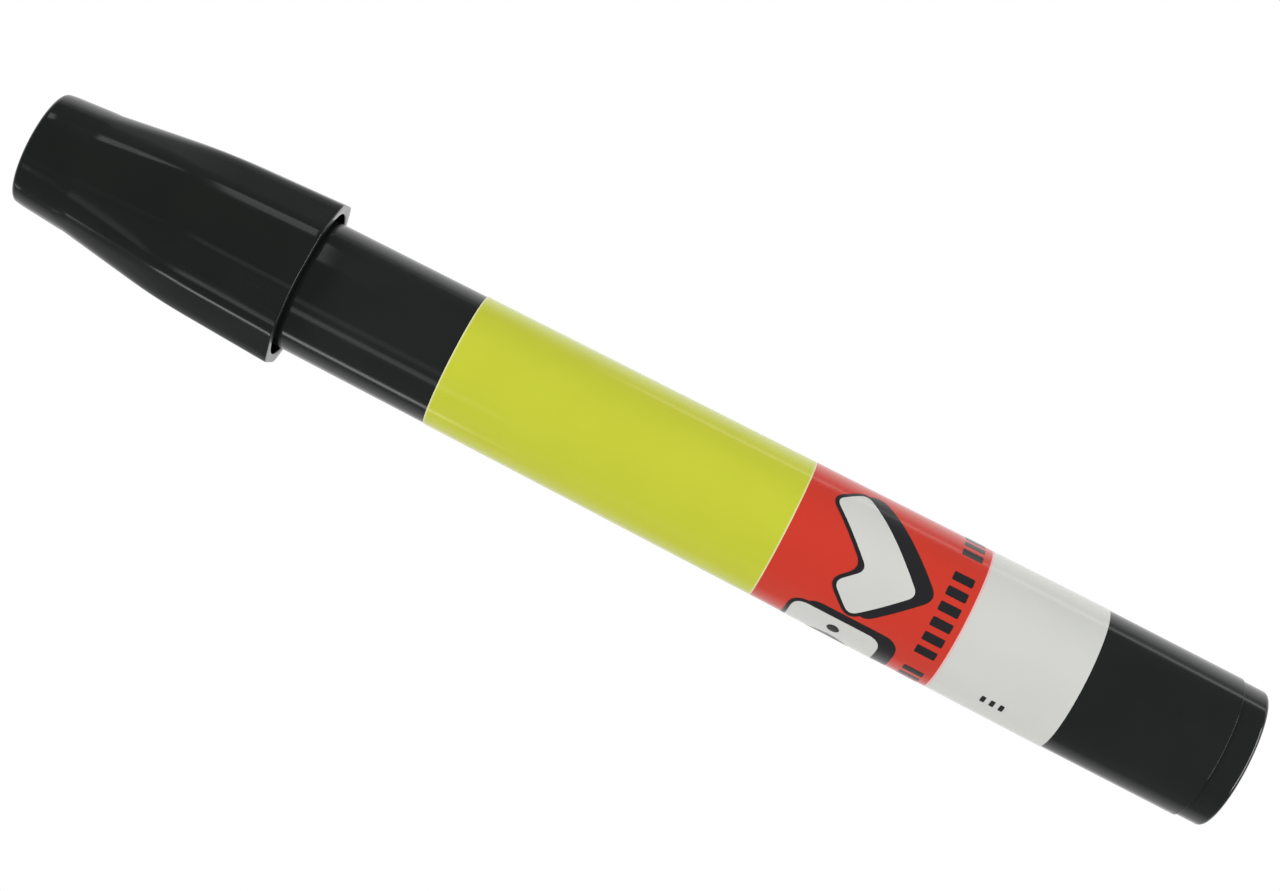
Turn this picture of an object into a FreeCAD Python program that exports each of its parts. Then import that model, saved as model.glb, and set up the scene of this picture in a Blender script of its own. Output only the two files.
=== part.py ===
import FreeCAD, Part
import math
import os

import Sketcher

# A fat marker pen lying on its side: the pen's axis runs along X, the cap's closed end
# points to -X and the end plug to +X.  Each piece is drawn on its own axis with x counted
# from the cap's closed end, and one Placement lays the pen down: the origin is the middle
# of its length on the surface that it lies on, under one flat facet of the cap.

NO_TURN = FreeCAD.Rotation(0.0, 0.0, 0.0)

# Driving dimensions, in millimetres.
DIMENSIONS = [
    ("overall_length", 140.0),
    # cap, outside
    ("cap_length", 31.55),
    ("cap_end_radius", 6.3),
    ("cap_end_round", 0.6),
    ("facet_tip_place", 6.1),
    ("facet_tip_radius", 6.82),
    ("kink_place", 18.3),
    ("kink_apothem", 8.53),
    ("mouth_apothem", 9.2),
    ("ridge_trim", 0.12),
    # cap, inside
    ("cap_end_wall", 1.6),
    ("cavity_end_radius", 4.8),
    ("cavity_kink_radius", 7.3),
    ("seat_place", 22.0),
    ("seat_length", 2.2),
    ("seat_radius", 7.7),
    ("cavity_open_radius", 8.1),
    ("mouth_bore_radius", 8.2),
    # inner cap, which seals on the nib holder's collar
    ("inner_cap_place", 4.6),
    ("inner_cap_wall", 0.8),
    ("inner_cap_end_radius", 4.7),
    ("inner_cap_outer_radius", 6.5),
    ("inner_cap_length", 20.4),
    ("inner_cap_flange", 2.0),
    ("seal_land_place", 20.0),
    ("seal_clearance", 0.05),
    ("seal_lead_in", 0.5),
    # barrel
    ("barrel_place", 26.5),
    ("barrel_front_radius", 7.22),
    ("barrel_rear_radius", 7.95),
    ("barrel_bore_radius", 6.2),
    ("barrel_edge_round", 0.3),
    ("rib_count", 6.0),
    ("rib_width", 0.9),
    # label
    ("label_place", 48.9),
    ("label_end", 121.35),
    ("label_thickness", 0.06),
    # nib holder and nib
    ("holder_flange", 1.0),
    ("holder_flange_radius", 6.9),
    ("collar_radius", 5.6),
    ("collar_place", 20.6),
    ("nose_place", 17.0),
    ("nose_radius", 3.6),
    ("nose_root_radius", 5.0),
    ("holder_spigot_length", 8.0),
    ("holder_bore_radius", 3.2),
    ("nib_radius", 2.4),
    ("nib_tip_place", 11.0),
    ("nib_rear_place", 42.0),
    ("chisel_length", 4.6),
    ("chisel_thickness", 1.5),
    ("chisel_slant", 1.2),
    # reservoir
    ("reservoir_place", 36.0),
    ("reservoir_length", 92.0),
    ("reservoir_radius", 5.6),
    ("wrap_thickness", 0.15),
    # end plug
    ("plug_flange", 3.0),
    ("plug_flange_radius", 7.77),
    ("plug_wall", 1.2),
    ("plug_edge_round", 0.5),
    # how far a cutting profile runs past the solid
    ("cut_margin", 3.0),
]

FACET_COUNT = 10

# How far, in millimetres, an edge may lie from the place where it is looked for.
EDGE_REACH = 0.05


class Length:
    """A length in millimetres together with the spreadsheet expression that gives it."""

    def __init__(self, value, text):
        self.value = value
        self.text = text

    def _joined(self, other, sign):
        if not isinstance(other, Length):
            other = Length(float(other), repr(float(other)))
        return other, f"({self.text} {sign} {other.text})"

    def __add__(self, other):
        other, text = self._joined(other, "+")
        return Length(self.value + other.value, text)

    def __sub__(self, other):
        other, text = self._joined(other, "-")
        return Length(self.value - other.value, text)

    def __mul__(self, other):
        other, text = self._joined(other, "*")
        return Length(self.value * other.value, text)

    def __truediv__(self, other):
        other, text = self._joined(other, "/")
        return Length(self.value / other.value, text)


ZERO = Length(0.0, "0")


def make_sheet(doc):
    """Write the driving dimensions to a spreadsheet and return them as Lengths."""
    sheet = doc.addObject("Spreadsheet::Sheet", "Sizes")
    sizes = {}
    for row, (name, value) in enumerate(DIMENSIONS, start=1):
        sheet.set(f"A{row}", name)
        sheet.set(f"B{row}", str(value))
        sheet.setAlias(f"B{row}", name)
        sizes[name] = Length(value, f"Sizes.{name}")
    doc.recompute()
    return sizes


def make_body(doc, name):
    body = doc.addObject("PartDesign::Body", name)
    body.Label = name
    return body


def origin_plane(body, role):
    for feature in body.Origin.OriginFeatures:
        if feature.Role == role:
            return feature
    raise RuntimeError(f"{body.Label} has no {role}")


def place_vertex(sketch, edge, place, radius):
    """Tie an edge's first point to its place along the axis and its height above it."""
    for kind, length, axis in (("DistanceX", place, -2), ("DistanceY", radius, -1)):
        if length is ZERO:
            sketch.addConstraint(Sketcher.Constraint("PointOnObject", edge, 1, axis))
            continue
        index = sketch.addConstraint(
            Sketcher.Constraint(kind, -1, 1, edge, 1, length.value))
        sketch.renameConstraint(index, f"{kind}_{edge}")
        sketch.setExpression(f"Constraints.{kind}_{edge}", length.text)


def draw_profile(body, name, points, plane="XY_Plane"):
    """Draw a closed outline of (place, height) Lengths as a sketch on one origin plane."""
    sketch = body.newObject("Sketcher::SketchObject", name)
    sketch.AttachmentSupport = [(origin_plane(body, plane), "")]
    sketch.MapMode = "FlatFace"
    corners = [FreeCAD.Vector(place.value, radius.value, 0.0) for place, radius in points]
    for number, start in enumerate(corners):
        end = corners[(number + 1) % len(corners)]
        sketch.addGeometry(Part.LineSegment(start, end), False)
    for number, (place, radius) in enumerate(points):
        following = (number + 1) % len(points)
        sketch.addConstraint(Sketcher.Constraint("Coincident", number, 2, following, 1))
        place_vertex(sketch, number, place, radius)
    return sketch


def turn(body, name, sketch):
    """Turn a profile all the way round the pen's axis."""
    revolution = body.newObject("PartDesign::Revolution", name)
    revolution.Profile = sketch
    revolution.ReferenceAxis = (sketch, ["H_Axis"])
    revolution.Angle = 360.0
    return revolution


def groove(body, name, sketch):
    """Cut a profile away all the way round the pen's axis."""
    body.Document.recompute()
    before = body.Shape.Volume
    cut = body.newObject("PartDesign::Groove", name)
    cut.Profile = sketch
    cut.ReferenceAxis = (sketch, ["H_Axis"])
    cut.Angle = 360.0
    body.Document.recompute()
    if cut.Shape.Volume >= before:
        raise RuntimeError(f"{name} cuts nothing from {body.Label}")
    return cut


def ring_edges(feature, place, radius):
    """Names of the circular edges round the axis at one place and radius."""
    names = []
    for number, edge in enumerate(feature.Shape.Edges, start=1):
        middle = edge.valueAt((edge.FirstParameter + edge.LastParameter) / 2.0)
        near = abs(middle.x - place.value) < EDGE_REACH
        if near and abs(math.hypot(middle.y, middle.z) - radius.value) < EDGE_REACH:
            names.append(f"Edge{number}")
    if not names:
        raise RuntimeError(f"no edge at {place.text}")
    return names


def round_edges(body, name, feature, rings, size):
    """Round the edges at each (place, radius) of rings."""
    body.Document.recompute()
    edges = []
    for place, radius in rings:
        edges += ring_edges(feature, place, radius)
    fillet = body.newObject("PartDesign::Fillet", name)
    fillet.Base = (feature, edges)
    fillet.Radius = size.value
    fillet.setExpression("Radius", size.text)
    return fillet


def corner_radius(apothem):
    """Radius of a polygon's corners, from the radius of its flats."""
    factor = 1.0 / math.cos(math.pi / FACET_COUNT)
    return Length(apothem.value * factor, f"({apothem.text} / cos(180deg / {FACET_COUNT}))")


def facet_section(body, name, place, apothem):
    """Draw a regular polygon across the axis, one flat facing down."""
    sketch = body.newObject("Sketcher::SketchObject", name)
    sketch.AttachmentSupport = [(origin_plane(body, "YZ_Plane"), "")]
    sketch.MapMode = "FlatFace"
    sketch.AttachmentOffset = FreeCAD.Placement(
        FreeCAD.Vector(0.0, 0.0, place.value), NO_TURN)
    sketch.setExpression("AttachmentOffset.Base.z", place.text)
    reach = corner_radius(apothem)
    corners = []
    for number in range(FACET_COUNT):
        angle = 2.0 * math.pi * number / FACET_COUNT
        corners.append(FreeCAD.Vector(reach.value * math.cos(angle),
                                      reach.value * math.sin(angle), 0.0))
    for number, corner in enumerate(corners):
        end = corners[(number + 1) % FACET_COUNT]
        sketch.addGeometry(Part.LineSegment(corner, end), False)
    ring = sketch.addGeometry(
        Part.Circle(FreeCAD.Vector(0, 0, 0), FreeCAD.Vector(0, 0, 1), reach.value), True)
    sketch.addConstraint(Sketcher.Constraint("Coincident", ring, 3, -1, 1))
    for number in range(FACET_COUNT):
        following = (number + 1) % FACET_COUNT
        sketch.addConstraint(Sketcher.Constraint("Coincident", number, 2, following, 1))
        sketch.addConstraint(Sketcher.Constraint("PointOnObject", number, 1, ring))
        if number:
            sketch.addConstraint(Sketcher.Constraint("Equal", 0, number))
    sketch.addConstraint(Sketcher.Constraint("PointOnObject", 0, 1, -1))
    index = sketch.addConstraint(Sketcher.Constraint("Radius", ring, reach.value))
    sketch.renameConstraint(index, "corner_radius")
    sketch.setExpression("Constraints.corner_radius", reach.text)
    return sketch


def make_cap_shell(doc, s):
    """Faceted cap: round at its closed end, ten flats from the pointed tips onwards."""
    body = make_body(doc, "cap_shell")
    over = s["cut_margin"]
    sections = [
        facet_section(body, "Flats_before_tips", ZERO - over, s["mouth_apothem"]),
        facet_section(body, "Flats_at_tips", s["facet_tip_place"], s["facet_tip_radius"]),
        facet_section(body, "Flats_at_kink", s["kink_place"], s["kink_apothem"]),
        facet_section(body, "Flats_at_mouth", s["cap_length"], s["mouth_apothem"]),
    ]
    loft = body.newObject("PartDesign::AdditiveLoft", "Flats")
    loft.Profile = sections[0]
    loft.Sections = sections[1:]
    loft.Ruled = True
    outside = s["mouth_apothem"] + over
    past = s["cap_length"] + over
    trim_kink = corner_radius(s["kink_apothem"]) - s["ridge_trim"]
    trim_mouth = corner_radius(s["mouth_apothem"]) - s["ridge_trim"]
    trim_past = trim_mouth + (trim_mouth - trim_kink) * over / (s["cap_length"] - s["kink_place"])
    before = ZERO - over * 2.0
    envelope = draw_profile(body, "Round_outline", [
        (ZERO, ZERO),
        (ZERO, s["cap_end_radius"]),
        (s["facet_tip_place"], s["facet_tip_radius"]),
        (s["kink_place"], trim_kink),
        (past, trim_past),
        (past, outside),
        (before, outside),
        (before, ZERO),
    ])
    trimmed = groove(body, "Round_trim", envelope)
    cavity = draw_profile(body, "Cavity_outline", [
        (s["cap_end_wall"], ZERO),
        (s["cap_end_wall"], s["cavity_end_radius"]),
        (s["kink_place"], s["cavity_kink_radius"]),
        (s["seat_place"], s["cavity_kink_radius"]),
        (s["seat_place"], s["seat_radius"]),
        (s["seat_place"] + s["seat_length"], s["seat_radius"]),
        (s["seat_place"] + s["seat_length"], s["cavity_open_radius"]),
        (s["cap_length"], s["mouth_bore_radius"]),
        (past, s["mouth_bore_radius"]),
        (past, ZERO),
    ])
    bored = groove(body, "Cavity", cavity)
    round_edges(body, "End_round", bored,
                [(ZERO, s["cap_end_radius"])], s["cap_end_round"])
    return body


def make_inner_cap(doc, s):
    """Thin cup pressed into the cap, whose bore seals on the nib holder's collar."""
    body = make_body(doc, "inner_cap")
    place = s["inner_cap_place"]
    wall = s["inner_cap_wall"]
    bore = s["collar_radius"] + s["seal_clearance"]
    end = place + s["inner_cap_length"]
    profile = draw_profile(body, "Cup_outline", [
        (place, ZERO),
        (place, s["inner_cap_end_radius"]),
        (s["seal_land_place"], s["inner_cap_outer_radius"]),
        (s["seat_place"], s["inner_cap_outer_radius"]),
        (s["seat_place"], s["seat_radius"]),
        (s["seat_place"] + s["inner_cap_flange"], s["seat_radius"]),
        (s["seat_place"] + s["inner_cap_flange"], s["inner_cap_outer_radius"]),
        (end, s["inner_cap_outer_radius"]),
        (end, bore + s["seal_lead_in"]),
        (end - s["seal_lead_in"], bore),
        (s["seal_land_place"], bore),
        (place + wall, s["inner_cap_end_radius"] - wall),
        (place + wall, ZERO),
    ])
    turn(body, "Cup", profile)
    return body


def make_barrel(doc, s):
    """Tapered tube with a plain cylindrical tail and ribs that hold the reservoir."""
    body = make_body(doc, "barrel_tube")
    rear = s["overall_length"] - s["plug_flange"]
    profile = draw_profile(body, "Tube_outline", [
        (s["barrel_place"], s["barrel_bore_radius"]),
        (s["barrel_place"], s["barrel_front_radius"]),
        (s["label_end"], s["barrel_rear_radius"]),
        (rear, s["barrel_rear_radius"]),
        (rear, s["barrel_bore_radius"]),
    ])
    tube = turn(body, "Tube", profile)
    rounded = round_edges(body, "Edge_round", tube, [
        (s["barrel_place"], s["barrel_front_radius"]),
        (rear, s["barrel_rear_radius"]),
    ], s["barrel_edge_round"])
    doc.recompute()
    wrap_radius = s["reservoir_radius"] + s["wrap_thickness"]
    rib = body.newObject("Sketcher::SketchObject", "Rib_outline")
    rib.AttachmentSupport = [(origin_plane(body, "YZ_Plane"), "")]
    rib.MapMode = "FlatFace"
    rib.AttachmentOffset = FreeCAD.Placement(
        FreeCAD.Vector(0.0, 0.0, s["reservoir_place"].value), NO_TURN)
    rib.setExpression("AttachmentOffset.Base.z", s["reservoir_place"].text)
    root = s["barrel_bore_radius"] + s["wrap_thickness"]
    half = s["rib_width"] / 2.0
    low, high = wrap_radius.value, root.value
    corners = [(-half.value, low), (half.value, low), (half.value, high), (-half.value, high)]
    for number, (across, up) in enumerate(corners):
        ahead = corners[(number + 1) % 4]
        rib.addGeometry(Part.LineSegment(FreeCAD.Vector(across, up, 0.0),
                                         FreeCAD.Vector(ahead[0], ahead[1], 0.0)), False)
    for number in range(4):
        rib.addConstraint(Sketcher.Constraint("Coincident", number, 2, (number + 1) % 4, 1))
    rib.addConstraint(Sketcher.Constraint("Horizontal", 2))
    rib.addConstraint(Sketcher.Constraint("Vertical", 1))
    rib.addConstraint(Sketcher.Constraint("Vertical", 3))
    for name, kind, edge, point, size in (
            ("half_width", "DistanceX", 1, 1, half), ("foot", "DistanceY", 1, 1, wrap_radius),
            ("crown", "DistanceY", 2, 1, root)):
        index = rib.addConstraint(Sketcher.Constraint(kind, -1, 1, edge, point, size.value))
        rib.renameConstraint(index, name)
        rib.setExpression(f"Constraints.{name}", size.text)
    rib.addConstraint(Sketcher.Constraint("Symmetric", 0, 1, 0, 2, -2))
    pad = body.newObject("PartDesign::Pad", "Rib")
    pad.Profile = rib
    pad.Length = s["reservoir_length"].value
    pad.setExpression("Length", s["reservoir_length"].text)
    pattern = body.newObject("PartDesign::PolarPattern", "Ribs")
    pattern.Originals = [pad]
    pattern.Axis = (rib, ["N_Axis"])
    pattern.Angle = 360.0
    pattern.setExpression("Occurrences", s["rib_count"].text)
    body.Tip = pattern
    return body


def barrel_radius_at(s, place):
    """Outer radius of the tapered barrel at one place ahead of its plain tail."""
    taper = (s["barrel_rear_radius"] - s["barrel_front_radius"]) / (
        s["label_end"] - s["barrel_place"])
    return s["barrel_front_radius"] + taper * (place - s["barrel_place"])


def make_label(doc, s):
    """Thin printed sleeve round the taper."""
    body = make_body(doc, "wrap_label")
    start, end = s["label_place"], s["label_end"]
    film = s["label_thickness"]
    profile = draw_profile(body, "Sleeve_outline", [
        (start, barrel_radius_at(s, start)),
        (start, barrel_radius_at(s, start) + film),
        (end, s["barrel_rear_radius"] + film),
        (end, s["barrel_rear_radius"]),
    ])
    turn(body, "Sleeve", profile)
    return body


def make_nib_holder(doc, s):
    """Front plug: spigot in the barrel, flange on its rim, sealing collar and nose."""
    body = make_body(doc, "nib_holder")
    flange_place = s["barrel_place"] - s["holder_flange"]
    end = s["barrel_place"] + s["holder_spigot_length"]
    profile = draw_profile(body, "Holder_outline", [
        (s["nose_place"], s["nib_radius"]),
        (s["nose_place"], s["nose_radius"]),
        (s["collar_place"], s["nose_root_radius"]),
        (s["collar_place"] + (s["collar_radius"] - s["nose_root_radius"]), s["collar_radius"]),
        (flange_place, s["collar_radius"]),
        (flange_place, s["holder_flange_radius"]),
        (s["barrel_place"], s["holder_flange_radius"]),
        (s["barrel_place"], s["barrel_bore_radius"]),
        (end, s["barrel_bore_radius"]),
        (end, s["holder_bore_radius"]),
        (s["barrel_place"], s["holder_bore_radius"]),
        (s["barrel_place"], s["nib_radius"]),
    ])
    turn(body, "Holder", profile)
    return body


def make_nib(doc, s):
    """Felt rod with a slanted chisel tip."""
    body = make_body(doc, "nib")
    profile = draw_profile(body, "Rod_outline", [
        (s["nib_tip_place"], ZERO),
        (s["nib_tip_place"], s["nib_radius"]),
        (s["nib_rear_place"], s["nib_radius"]),
        (s["nib_rear_place"], ZERO),
    ])
    turn(body, "Rod", profile)
    doc.recompute()
    tip = s["nib_tip_place"]
    heel = tip + s["chisel_length"]
    out = s["cut_margin"]
    edge = s["chisel_thickness"] / 2.0
    cuts = (
        ("Flat_above", "XZ_Plane", [
            (tip - out, edge), (tip, edge), (heel, s["nib_radius"]),
            (heel, s["nib_radius"] + out), (tip - out, s["nib_radius"] + out)]),
        ("Flat_below", "XZ_Plane", [
            (tip - out, ZERO - edge), (tip, ZERO - edge), (heel, ZERO - s["nib_radius"]),
            (heel, ZERO - s["nib_radius"] - out), (tip - out, ZERO - s["nib_radius"] - out)]),
        ("Slant", "XY_Plane", [
            (tip - out, s["nib_radius"] + out), (tip - out, ZERO - s["nib_radius"]),
            (tip, ZERO - s["nib_radius"]), (tip + s["chisel_slant"], s["nib_radius"]),
            (tip + s["chisel_slant"], s["nib_radius"] + out)]),
    )
    for name, plane, points in cuts:
        before = body.Shape.Volume
        sketch = draw_profile(body, f"{name}_outline", points, plane=plane)
        pocket = body.newObject("PartDesign::Pocket", name)
        pocket.Profile = sketch
        pocket.Type = "ThroughAll"
        pocket.Midplane = True
        doc.recompute()
        if pocket.Shape.Volume >= before:
            raise RuntimeError(f"{name} cuts nothing from the nib")
    return body


def make_reservoir(doc, s):
    """Fibre core that the nib's rear end pierces, and the film round it."""
    start = s["reservoir_place"]
    end = start + s["reservoir_length"]
    core = make_body(doc, "reservoir_core")
    profile = draw_profile(core, "Core_outline", [
        (start, s["nib_radius"]),
        (start, s["reservoir_radius"]),
        (end, s["reservoir_radius"]),
        (end, ZERO),
        (s["nib_rear_place"], ZERO),
        (s["nib_rear_place"], s["nib_radius"]),
    ])
    turn(core, "Core", profile)
    wrap = make_body(doc, "reservoir_wrap")
    film = s["reservoir_radius"] + s["wrap_thickness"]
    profile = draw_profile(wrap, "Wrap_outline", [
        (start, s["reservoir_radius"]),
        (start, film),
        (end, film),
        (end, s["reservoir_radius"]),
    ])
    turn(wrap, "Wrap", profile)
    return core, wrap


def make_end_plug(doc, s):
    """Rear plug: a low button outside and a hollow spigot up to the reservoir."""
    body = make_body(doc, "end_plug")
    end = s["overall_length"]
    seat = end - s["plug_flange"]
    front = s["reservoir_place"] + s["reservoir_length"]
    profile = draw_profile(body, "Plug_outline", [
        (front, s["barrel_bore_radius"] - s["plug_wall"]),
        (front, s["barrel_bore_radius"]),
        (seat, s["barrel_bore_radius"]),
        (seat, s["plug_flange_radius"]),
        (end, s["plug_flange_radius"]),
        (end, ZERO),
        (seat, ZERO),
        (seat, s["barrel_bore_radius"] - s["plug_wall"]),
    ])
    turned = turn(body, "Plug", profile)
    round_edges(body, "Plug_round", turned,
                [(end, s["plug_flange_radius"])], s["plug_edge_round"])
    return body


def main():
    doc = FreeCAD.newDocument("marker_pen")
    s = make_sheet(doc)
    bodies = [
        make_cap_shell(doc, s), make_inner_cap(doc, s), make_barrel(doc, s),
        make_label(doc, s), make_nib_holder(doc, s), make_nib(doc, s),
        *make_reservoir(doc, s), make_end_plug(doc, s),
    ]
    for body in bodies:
        body.Placement = FreeCAD.Placement(
            FreeCAD.Vector(-s["overall_length"].value / 2.0, 0.0, s["mouth_apothem"].value),
            NO_TURN)
        body.setExpression("Placement.Base.x", f"-{s['overall_length'].text} / 2")
        body.setExpression("Placement.Base.z", s["mouth_apothem"].text)
    doc.recompute()
    for item in doc.Objects:
        if "Invalid" in item.State or "Error" in item.State:
            raise RuntimeError(f"{item.Label} failed: {item.State}")
    for body in bodies:
        if body.Shape.isNull() or not body.Shape.isValid():
            raise RuntimeError(f"{body.Label} has no valid shape")
    os.makedirs("parts", exist_ok=True)
    for body in bodies:
        body.Shape.exportStep(f"parts/{body.Label}.step")
        box = body.Shape.BoundBox
        print(f"{body.Label:16s} {body.Shape.Volume:9.1f} mm3, {len(body.Shape.Solids)} solid, "
              f"x {box.XMin:.2f} to {box.XMax:.2f}, z {box.ZMin:.2f} to {box.ZMax:.2f}")


main()
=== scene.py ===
import math

import bpy
from mathutils import Matrix, Vector


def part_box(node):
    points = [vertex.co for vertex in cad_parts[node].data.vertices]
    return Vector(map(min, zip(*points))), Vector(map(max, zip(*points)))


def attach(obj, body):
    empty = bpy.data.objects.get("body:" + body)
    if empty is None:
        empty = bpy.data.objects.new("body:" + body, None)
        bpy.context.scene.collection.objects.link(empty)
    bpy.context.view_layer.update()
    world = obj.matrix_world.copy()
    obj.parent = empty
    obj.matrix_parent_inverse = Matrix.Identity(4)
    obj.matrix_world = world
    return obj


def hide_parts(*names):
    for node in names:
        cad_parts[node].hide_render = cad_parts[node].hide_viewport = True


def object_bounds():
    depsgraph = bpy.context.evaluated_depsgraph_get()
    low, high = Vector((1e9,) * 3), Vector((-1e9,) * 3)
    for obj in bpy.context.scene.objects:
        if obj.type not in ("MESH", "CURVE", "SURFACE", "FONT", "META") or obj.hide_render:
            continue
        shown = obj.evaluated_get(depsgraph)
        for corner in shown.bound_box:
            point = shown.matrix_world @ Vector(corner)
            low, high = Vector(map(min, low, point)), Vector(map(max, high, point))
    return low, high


bl_info = {
    "name": "Banknote Testing Pen",
    "version": (1, 0, 0),
    "blender": (4, 5, 0),
    "location": "3D View > Sidebar > Pen",
    "description": "Models and finishes a fat felt marker with a faceted cap and a printed label",
    "category": "Object",
}

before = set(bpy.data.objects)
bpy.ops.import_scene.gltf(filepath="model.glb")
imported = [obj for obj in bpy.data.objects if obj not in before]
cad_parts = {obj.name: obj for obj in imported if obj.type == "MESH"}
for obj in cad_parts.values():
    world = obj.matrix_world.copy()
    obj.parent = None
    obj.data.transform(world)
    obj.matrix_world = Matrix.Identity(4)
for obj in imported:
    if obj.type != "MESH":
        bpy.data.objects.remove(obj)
cad_low, cad_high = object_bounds()

MM = 0.001
FULL_TURN = 2.0 * math.pi
ROUND = 144                 # sides of a turned piece
CAP_SIDES = 360             # sides of the cap, a whole number for each flat
FACETS = 10                 # flats round the cap
KINK_SHARPNESS = 0.08       # how much of the flats' ease at the kink the ridges have
MOST_OF_HALF = 0.48         # how much of a side a rounded corner may take
SHARPEST_CORNER = 0.35      # keeps a grown corner from running out to a spike


def node_radius(name):
    """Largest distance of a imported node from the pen's axis."""
    low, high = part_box(name)
    return (high.y - low.y) / 2


def counted(x):
    """Place along the pen, counted from the cap's closed end, of an X."""
    return x - cad_low.x


CAP_LOW, CAP_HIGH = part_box("cap_shell")
INNER_LOW, INNER_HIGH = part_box("inner_cap")
BARREL_LOW, BARREL_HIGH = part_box("barrel_tube")
LABEL_LOW, LABEL_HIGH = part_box("wrap_label")
HOLDER_LOW, HOLDER_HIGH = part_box("nib_holder")
NIB_LOW, NIB_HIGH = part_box("nib")
PLUG_LOW, PLUG_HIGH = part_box("end_plug")
AXIS_HEIGHT = (BARREL_LOW.z + BARREL_HIGH.z) / 2
CAP_LENGTH = CAP_HIGH.x - CAP_LOW.x
CAP_MOUTH = CAP_HIGH.z - AXIS_HEIGHT            # distance of the flats from the axis there
BARREL_RADIUS = node_radius("barrel_tube")      # at the tail
FINE_RELIEF = 0.01 * MM                         # depth of the grain on plastic and film
BARREL_FRONT = 7.22 * MM                        # radius of the taper's narrow end
BARREL_BORE = 6.2 * MM
LABEL_FILM = LABEL_HIGH.z - AXIS_HEIGHT - BARREL_RADIUS
SEAL_PLACE = 20.0 * MM                          # where the inner cap's straight seal begins
SEAT_PLACE = 22.0 * MM                          # ledge in the cap that stops the inner cap
SEAT_BORE = 7.7 * MM


# ---------------------------------------------------------------- sizes and colours


class PenViewSettings(bpy.types.PropertyGroup):
    """Where the camera stands."""

    distance: bpy.props.FloatProperty(
        name="Distance", description="From the camera to the pen's axis",
        default=0.2879, min=0.1, unit="LENGTH")
    elevation: bpy.props.FloatProperty(
        name="Elevation", description="Angle of the camera above the floor",
        default=math.radians(74.5), subtype="ANGLE")
    roll: bpy.props.FloatProperty(
        name="Roll", description="How far the tail drops below the level in the picture",
        default=math.radians(27.2), subtype="ANGLE")
    foot: bpy.props.FloatProperty(
        name="Foot", description="Place along the pen that the camera stands over",
        default=0.0032, unit="LENGTH")
    aim_along: bpy.props.FloatProperty(
        name="Aim along", description="Place along the pen that the camera looks at",
        default=0.0001, unit="LENGTH")
    aim_across: bpy.props.FloatProperty(
        name="Aim across", description="How far behind the axis the camera looks",
        default=0.00086, unit="LENGTH")
    lens: bpy.props.FloatProperty(
        name="Lens", description="Focal length in millimetres on a 36 mm sensor",
        default=77.5, min=10.0)


class PenStageSettings(bpy.types.PropertyGroup):
    """Floor and lights."""

    floor_size: bpy.props.FloatProperty(
        name="Floor", description="Side of the square floor",
        default=3.0, unit="LENGTH")
    floor_glow: bpy.props.FloatProperty(
        name="Floor glow", description="Light that comes up through the floor",
        default=1.0, min=0.0)
    sky: bpy.props.FloatProperty(
        name="Surround", description="Brightness of the room round the stage",
        default=0.20, min=0.0)
    end_light: bpy.props.FloatProperty(
        name="End lights", description="Power of the two soft boxes beyond the pen's ends",
        default=14.0, min=0.0, unit="POWER")
    strip_distance: bpy.props.FloatProperty(
        name="Strip distance", description="From the pen's axis to the strips of light",
        default=0.5, min=0.1, unit="LENGTH")


class PenCapSettings(bpy.types.PropertyGroup):
    """Sizes of the faceted cap, counted from its closed end."""

    end_radius: bpy.props.FloatProperty(
        name="End radius", description="Radius of the round closed end",
        default=6.3 * MM, unit="LENGTH")
    tip_place: bpy.props.FloatProperty(
        name="Facet tips", description="Where the flats begin as points",
        default=6.1 * MM, unit="LENGTH")
    tip_radius: bpy.props.FloatProperty(
        name="Tip radius", description="Distance of the facet tips from the axis",
        default=6.82 * MM, unit="LENGTH")
    kink_place: bpy.props.FloatProperty(
        name="Kink", description="Where neighbouring flats meet and the taper eases",
        default=18.3 * MM, unit="LENGTH")
    kink_apothem: bpy.props.FloatProperty(
        name="Kink apothem", description="Distance of the flats from the axis at the kink",
        default=8.53 * MM, unit="LENGTH")
    kink_ease: bpy.props.FloatProperty(
        name="Kink ease", description="How far each side of the kink the flats bend",
        default=4.0 * MM, unit="LENGTH")
    ridge_trim: bpy.props.FloatProperty(
        name="Ridge trim", description="How much of each sharp ridge is rounded away",
        default=0.14 * MM, unit="LENGTH")
    ridge_blend: bpy.props.FloatProperty(
        name="Ridge blend", description="How softly a flat runs into the round parts",
        default=0.20 * MM, unit="LENGTH", precision=6)
    edge_round: bpy.props.FloatProperty(
        name="Edge round", description="Rounding of the cap's rims",
        default=0.13 * MM, unit="LENGTH")
    end_round: bpy.props.FloatProperty(
        name="End round", description="Rounding of the closed end",
        default=0.55 * MM, unit="LENGTH")
    mouth_bore: bpy.props.FloatProperty(
        name="Mouth bore", description="Radius of the cap's mouth",
        default=8.2 * MM, unit="LENGTH")


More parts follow.
